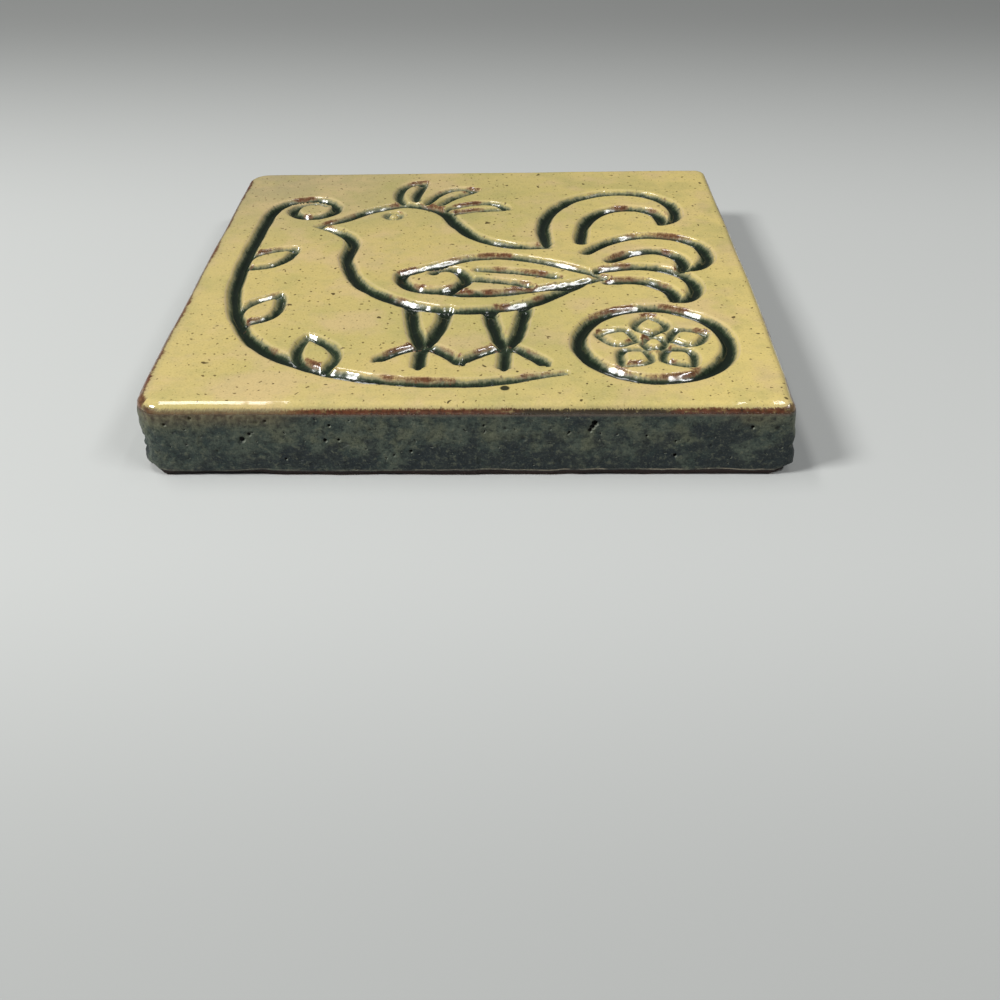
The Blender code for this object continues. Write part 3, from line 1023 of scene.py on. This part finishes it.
def face_glaze(tree, place, across, inward, drop, specks):
    """Straw in the middle, mustard further out, paler by the edges, cloudy and specked all over, with
    painted light toward the right and painted shade at the back left.
    """
    colours = bpy.context.scene.tile_colours
    face = cloud(tree, place, 60 * MM).ramp(0.38, 0.62).coat(colours.mustard, colours.straw)
    face = drop.ramp(-22 * MM, -2 * MM, 0.55).coat(face, colours.pale)
    # Painted light and shade: the glaze goes brighter toward the right and darker at the back left corner,
    # standing in for light that falls off
    face = across.ramp(-10 * MM, 70 * MM, 0.80).coat(face, PAINTED_LIGHT_GOLD)
    painted_shade_corner = across.ramp(10 * MM, -70 * MM) * inward.ramp(5 * MM, 70 * MM, 0.80)
    face = painted_shade_corner.coat(face, PAINTED_SHADE_DULL)
    green = cloud(tree, beside(tree, place, 1.3), 15 * MM, 3.0, 0.6)
    face = green.ramp(0.46, 0.70, 0.50).coat(face, GREENED)
    flush = cloud(tree, beside(tree, place, 3.1), 18 * MM, 4.0, 0.6)
    face = flush.ramp(0.46, 0.66, 0.58).coat(face, FLUSHED)
    mottle = cloud(tree, place, 2.2 * MM, 4.0, 0.6)
    face = mottle.ramp(0.44, 0.70, 0.12).coat(face, colours.haze)
    dust = cloud(tree, place, 0.5 * MM, 2.0, 0.6)
    face = dust.ramp(0.50, 0.72, 0.22).coat(face, DARK_DUST)
    face = dust.ramp(0.50, 0.30, 0.16).coat(face, PALE_DUST)
    for cell, share, radius, strength, shade in FACE_SPECKS:
        mask = dots(tree, specks, place, cell, share, radius)
        face = (mask * strength).coat(face, darker(colours.speck, shade))
    from_spot = put(tree, "ShaderNodeVectorMath", {0: place, 1: SPOT_PLACE}, operation="DISTANCE")
    spot = Number(tree, from_spot.outputs["Value"]).ramp(SPOT_REACH, SPOT_CORE, 0.95)
    return spot.coat(face, colours.pool)


def line_glaze(tree, place, face):
    """The dark glaze: a streaky haze on the shoulders and pools on the floors, with rust on far walls."""
    colours = bpy.context.scene.tile_colours
    line, along, far_wall, rust = (kept(tree, name) for name in ("line", "along", "far_wall", "rust"))
    # Pale coat on the lines' shoulders, strongest on the near side: partly thinner glaze, partly a painted
    # rim highlight
    shoulder = line.ramp(0.005, 0.05) * line.ramp(0.24, 0.10) * far_wall.ramp(1.0, 0.0, 0.58, 0.26)
    face = shoulder.coat(face, PALE_SHOULDER_AND_RIM_HIGHLIGHT)
    streak = wall_streaks(tree, along, line, 0.62 * MM, 4.0)
    clump = wall_streaks(tree, along, line, 2.6 * MM, 3.0)
    grain = cloud(tree, place, 0.36 * MM)
    slow = cloud(tree, place, 11 * MM)
    shift = streak.swing(0.46) + clump.swing(0.50) + grain.swing(0.26) + slow.swing(0.45)
    shift = shift * far_wall.ramp(0.0, 1.0, 1.15, 0.40)
    wet = shift * line.ramp(0.04, 0.30) + line - far_wall.ramp(1.0, 0.0, 0.09)
    face = wet.ramp(0.10, 0.42, 0.85).coat(face, colours.haze)
    face = wet.ramp(0.36, 0.68).coat(face, colours.moss)
    face = wet.ramp(0.62, 0.92).coat(face, colours.pool)
    jagged = rust + streak.swing(0.95) + clump.swing(1.00) + grain.swing(0.80)
    flushed = jagged.ramp(0.10, 0.60) * rust.ramp(0.02, 0.30, 0.55)
    face = flushed.coat(face, BROWNED)
    mixed = cloud(tree, place, 0.9 * MM, 3.0, 0.6)
    rust_tone = mixed.ramp(0.35, 0.65).coat(colours.rust, darker(colours.rust, 0.50))
    rust_edge = jagged.ramp(0.34, 0.95) * rust.ramp(0.08, 0.45, 0.90)
    return rust_edge.coat(face, rust_tone), rust_tone


def side_glaze(tree, skin, across, drop, specks):
    """Soft blotches of teal with olive higher up and navy lower down, grainy and pitted all over."""
    deep = cloud(tree, skin, 5 * MM, 5.0, 0.62)
    side = deep.ramp(0.40, 0.60).coat(DEEP_TEAL, TEAL)
    olive = cloud(tree, beside(tree, skin, 0.7), 7 * MM, 5.0, 0.62) + drop.ramp(17 * MM, 5 * MM, 0.05, -0.10)
    side = olive.ramp(0.47, 0.66, 0.80).coat(side, OLIVE)
    navy = cloud(tree, beside(tree, skin, 1.9), 8 * MM, 4.0, 0.58) + drop.ramp(5 * MM, 16 * MM, 0.12, -0.10)
    navy = navy + across.ramp(-60 * MM, 60 * MM, 0.07, -0.05)
    side = navy.ramp(0.48, 0.62, 0.85).coat(side, NAVY)
    middling = cloud(tree, beside(tree, skin, 2.7), 1.5 * MM, 3.0, 0.6)
    drawn = mapped(tree, skin, Scale=(0.35, 1.0, 1.0))
    scratches = cloud(tree, beside(tree, drawn, 5.3), 0.75 * MM, 3.0, 0.7)
    fine = cloud(tree, skin, 0.5 * MM, 3.0, 0.65)
    for grain, coats in zip((middling, scratches, fine), SIDE_GRAINS):
        for start, end, most, tone in coats:
            side = grain.ramp(start, end, most).coat(side, tone)
    scars = dots(tree, specks, skin, *SCARS, 0.16)
    side = (scars * 0.40).coat(side, SCAR)
    # Painted highlight: pale crescents on the lower right of the pinholes, as if light from the upper left
    # caught their rims
    lower_right = mapped(tree, skin, Location=(-0.18 * MM, -0.18 * MM, 0.0))
    painted_glints = dots(tree, specks, lower_right, *PINHOLES, 0.09)
    side = (painted_glints * 0.55).coat(side, GLINT)
    # Painted highlight on the lower right rims of the pits
    side = kept(tree, "pit_rim_highlight").ramp(0.15, 0.55, 0.80).coat(side, LIT_RIM)
    # Painted shade: the pinholes and the deepest part of each pit go near black
    hollow = dots(tree, specks, skin, *PINHOLES, 0.07).maths("MAXIMUM", kept(tree, "pit").ramp(0.20, 0.48))
    side = hollow.coat(side, PAINTED_PIT_SHADE)
    rims = dots(tree, specks, skin, *PINHOLES, 0.12)
    pocks = deep * (0.55 * MM) + middling * (0.42 * MM) + fine * (0.10 * MM)
    pocks = pocks - rims * (0.14 * MM) - scars * (0.25 * MM)
    return side, middling, fine, hollow, pocks


def foot_glaze(tree, place, skin, across, height, side, clay_tone):
    """A painted highlight as a thin pale line where the glaze stops, and bare clay under it that painted
    shade darkens to near black.
    """
    level = height + cloud(tree, place, 16 * MM, 4.0).swing(1.8 * MM)
    # Painted highlight: a thin pale line along the glaze's lower edge
    painted_edge_highlight = level.ramp(1.30 * MM, 1.42 * MM) * level.ramp(1.72 * MM, 1.52 * MM)
    broken = cloud(tree, skin, 9 * MM, 4.0, 0.65).ramp(0.38, 0.58, 1.0, 0.10)
    broken = broken * across.ramp(-20 * MM, 12 * MM, 0.95, 0.30)
    side = (painted_edge_highlight * broken).coat(side, FOOT_EDGE_HIGHLIGHT)
    # Painted shade: the bare clay at the foot is mixed nine tenths to near black, as in the shade by the
    # floor
    bare = level.ramp(1.32 * MM, 1.15 * MM)
    return bare.coat(side, blend(tree, 0.90, clay_tone, FOOT_CONTACT_SHADE)), bare


def edge_glaze(tree, skin, drop, specks, face, side, middling, rust_tone):
    """Rust where the glaze breaks along the foot of the round, and hairs of it up over the round."""
    hair = cloud(tree, mapped(tree, skin, Scale=(1.0, 0.24, 1.0)), 0.32 * MM, 4.0, 0.75)
    frayed = drop + hair.swing(3.7 * MM)
    ragged = drop + hair.swing(0.8 * MM)
    on_side = ragged.ramp(2.05 * MM, 2.45 * MM)
    worn = kept(tree, "worn")
    side = (ragged.ramp(3.3 * MM, 2.5 * MM, 0.50) * worn).coat(side, HALO)
    all_over = on_side.coat(face, side)
    veil = frayed.ramp(-0.1 * MM, 1.3 * MM) * ragged.ramp(6.8 * MM, 2.6 * MM, 0.82) * kept(tree, "veil")
    all_over = veil.coat(all_over, middling.ramp(0.38, 0.62).coat(DARK_VEIL, PALE_VEIL))
    past = frayed + kept(tree, "thick") + kept(tree, "creep") - 2.30 * MM
    mist = past.ramp(-1.8 * MM, 0.2 * MM, 0.42) * ragged.ramp(2.5 * MM, 2.2 * MM)
    all_over = mist.coat(all_over, MIST)
    band = past.ramp(-0.30 * MM, 0.45 * MM) * ragged.ramp(2.50 * MM, 2.25 * MM)
    thin = cloud(tree, skin, 2.0 * MM, 5.0, 0.7).ramp(0.30, 0.48, 1.0, 0.45)
    edge_tone = kept(tree, "ember").coat(DARK_EDGE, rust_tone)
    edge_tone = (dots(tree, specks, skin, *BEADS, 0.22) * 0.8).coat(edge_tone, BEAD)
    rubbed = (band * thin).maths("MULTIPLY", worn, use_clamp=True)
    return rubbed.coat(all_over, edge_tone), on_side, rubbed


def glaze_material(specks, clay):
    """The glazes: mustard on the face, dark in the lines, and dark satin blue-green on the sides."""
    material, tree, shader, place = new_material("tile_glaze")
    drop = kept(tree, "drop")
    skin = put(tree, "ShaderNodeCombineXYZ", {0: kept(tree, "around"), 1: drop}).outputs[0]
    across, inward, height = axes(tree, place)
    clay_look = use(tree, clay, {"Vector": place})
    face = face_glaze(tree, place, across, inward, drop, specks)
    face, rust_tone = line_glaze(tree, place, face)
    side, middling, fine, hollow, pocks = side_glaze(tree, skin, across, drop, specks)
    side, bare = foot_glaze(tree, place, skin, across, height, side, clay_look["Color"])
    all_over, on_side, rubbed = edge_glaze(tree, skin, drop, specks, face, side, middling, rust_tone)

    # Gloss: wet-looking face, satin sides, dry clay
    rough = kept(tree, "line").ramp(0.05, 0.50, 0.14, 0.07) + on_side * 0.30 + fine * on_side * 0.26
    for mask, dull in ((rubbed, 0.30), (bare * on_side, 0.9), (hollow * on_side, 0.8)):
        rough = rough.maths("MAXIMUM", mask * dull)

    # Surface: soft ripple on the face, pocked sides, grainy clay
    pocks = pocks + Number(tree, clay_look["Height"]) * bare * (0.20 * MM)
    surface = pocks * on_side + cloud(tree, place, 3.5 * MM) * (0.045 * MM)
    fill(tree, shader, {"Base Color": all_over, "Roughness": rough, "Normal": bump(tree, surface),
                        "Specular IOR Level": on_side * -0.22 + 0.5, "IOR": 1.52})
    return material


def clay_material(clay):
    """The underside's bare clay, with the drag of the wire that cut it."""
    material, tree, shader, place = new_material("bare_clay")
    look = use(tree, clay, {"Vector": place})
    wire = cloud(tree, mapped(tree, place, Scale=(0.12, 1.0, 1.0)), 1.6 * MM, 3.0, 0.6)
    surface = (wire * 1.6 + look["Height"]) * (0.16 * MM)
    tone = wire.ramp(0.4, 0.7, 0.25).coat(look["Color"], WIRE_DRAG)
    fill(tree, shader, {"Base Color": tone, "Normal": bump(tree, surface), "Roughness": 0.88})
    return material


class TILE_OT_make_tile(bpy.types.Operator):
    """Make the glazed tile with its sunken picture"""

    bl_idname = "tile.make_tile"
    bl_label = "Make glazed tile"

    def execute(self, context):
        mesh = glazed_slab(picture_lines())
        clay = clay_group(context.scene.tile_colours.clay)
        mesh.materials.append(glaze_material(specks_group(), clay))
        mesh.materials.append(clay_material(clay))
        normals = np.zeros(len(mesh.polygons) * 3, np.float32)
        centres = np.zeros_like(normals)
        mesh.polygons.foreach_get("normal", normals)
        mesh.polygons.foreach_get("center", centres)
        under = (normals[2::3] < -0.9) & (centres[2::3] < 1 * MM)
        mesh.polygons.foreach_set("material_index", under.astype(np.int32))
        piece = bpy.data.objects.new("glazed_tile", mesh)
        context.scene.collection.objects.link(piece)
        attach(piece, "root")
        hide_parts("tile")
        return {"FINISHED"}


# Stage

CAMERA_PLACE = (10.96 * MM, -292.0 * MM, 149.35 * MM)
CAMERA_PITCH_DOWN = 35.943
CAMERA_YAW = -0.735
CAMERA_ROLL = -0.48
CAMERA_CLIP = 0.01
FOCAL_PIXELS = 1115.2
PICTURE_PIXELS = 1000
SENSOR_WIDTH = 36.0

# Name, place, what it is aimed at, size, power and tint
LAMPS = (
    ("main_lamp", (-0.80, -0.35, 0.85), (0, 0, 0), (0.28, 0.28), 11.6, (1.0, 1.0, 0.985)),
    ("ceiling_lamp", (-0.386, 0.16, 1.10), (0, 0.16, 0), (0.62, 0.155), 3.3, (1.0, 0.99, 0.97)),
    ("right_lamp", (0.341, 0.02, 1.10), (0, 0.02, 0), (0.60, 0.022), 0.7, (1.0, 0.99, 0.97)),
    ("high_right", (0.64, -0.42, 0.90), (0, 0, 0), (0.50, 0.08), 4.0, (1.0, 1.0, 1.0)),
)
ROOM_TINT = (0.95, 0.98, 1.0, 1.0)
WALL_LIGHT, CEILING_LIGHT = 0.078, 0.19

FLOOR_HALF = 6.0
FLOOR_GAP = 0.05 * MM
FLOOR_TONE = (0.530, 0.543, 0.534)
BLACK = (0.0, 0.0, 0.0)


def photo_camera():
    """The camera, set by its pitch, yaw and roll in degrees and its focal length in pixels."""
    yaw = Matrix.Rotation(-math.radians(CAMERA_YAW), 4, "Z")
    pitch = Matrix.Rotation(math.radians(90 - CAMERA_PITCH_DOWN), 4, "X")
    roll = Matrix.Rotation(math.radians(CAMERA_ROLL), 4, "Z")
    data = bpy.data.cameras.new("camera")
    data.sensor_width = SENSOR_WIDTH
    data.lens = FOCAL_PIXELS / PICTURE_PIXELS * SENSOR_WIDTH
    data.clip_start = CAMERA_CLIP
    camera = bpy.data.objects.new("camera", data)
    camera.matrix_world = Matrix.Translation(CAMERA_PLACE) @ yaw @ pitch @ roll
    return camera


def soft_light(name, place, target, size, power, tint):
    data = bpy.data.lights.new(name, "AREA")
    data.shape = "RECTANGLE"
    data.size, data.size_y = size
    data.energy = power
    data.color = tint
    light = bpy.data.objects.new(name, data)
    light.location = place
    aim = Vector(target) - Vector(place)
    light.rotation_euler = aim.to_track_quat("-Z", "Y").to_euler()
    return light


def soft_room():
    """A room whose light comes softly from its ceiling, and little from its walls."""
    world = bpy.data.worlds.new("soft_room")
    world.use_nodes = True
    tree = world.node_tree
    upward = axes(tree, put(tree, "ShaderNodeTexCoord").outputs["Generated"])[2]
    strength = upward.ramp(0.45, 0.98, CEILING_LIGHT, WALL_LIGHT)
    fill(tree, tree.nodes["Background"], {"Strength": strength, "Color": ROOM_TINT})
    return world


def pale_floor():
    """A wide plain floor that the tile lies on, with painted shade that darkens it toward the front and back
    as light falls off.
    """
    shape = bmesh.new()
    bmesh.ops.create_grid(shape, x_segments=1, y_segments=1, size=FLOOR_HALF)
    mesh = bpy.data.meshes.new("floor")
    shape.to_mesh(mesh)
    shape.free()
    material, tree, shader, place = new_material("pale_floor")
    inward = axes(tree, place)[1]
    # Painted shade: the floor colour darkens toward the front and back
    painted_falloff = inward.ramp(-0.100, -0.215, 0.24) + inward.ramp(0.060, 0.400, 0.48)
    fill(tree, shader, {"Base Color": painted_falloff.coat(FLOOR_TONE, BLACK), "Roughness": 0.9})
    mesh.materials.append(material)
    floor = bpy.data.objects.new("floor", mesh)
    floor.location = (0.0, 0.0, -FLOOR_GAP)
    return floor


class TILE_OT_set_stage(bpy.types.Operator):
    """Set the floor, the lights and the camera"""

    bl_idname = "tile.set_stage"
    bl_label = "Set the stage"

    def execute(self, context):
        scene = context.scene
        floor = pale_floor()
        camera = photo_camera()
        lamps = [soft_light(*lamp) for lamp in LAMPS]
        for thing in (floor, camera, *lamps):
            scene.collection.objects.link(thing)
        scene.camera = camera
        scene.world = soft_room()
        scene.view_settings.view_transform = "Standard"
        return {"FINISHED"}


class TILE_PT_panel(bpy.types.Panel):
    """Glazed tile tools"""

    bl_idname = "TILE_PT_panel"
    bl_label = "Glazed tile"
    bl_space_type = "VIEW_3D"
    bl_region_type = "UI"
    bl_category = "Glazed tile"

    def draw(self, context):
        layout = self.layout
        for group in (context.scene.tile_sizes, context.scene.tile_colours):
            for name in group.__annotations__:
                layout.prop(group, name)
        for operator in (TILE_OT_make_tile, TILE_OT_set_stage):
            layout.operator(operator.bl_idname)


CLASSES = (TileSizes, TileColours, TILE_OT_make_tile, TILE_OT_set_stage, TILE_PT_panel)


def register():
    for item in CLASSES:
        bpy.utils.register_class(item)
    bpy.types.Scene.tile_sizes = bpy.props.PointerProperty(type=TileSizes)
    bpy.types.Scene.tile_colours = bpy.props.PointerProperty(type=TileColours)


def unregister():
    del bpy.types.Scene.tile_colours
    del bpy.types.Scene.tile_sizes
    for item in reversed(CLASSES):
        bpy.utils.unregister_class(item)


def main():
    register()
    bpy.ops.tile.make_tile()
    bpy.ops.tile.set_stage()


if __name__ == "__main__":
    main()
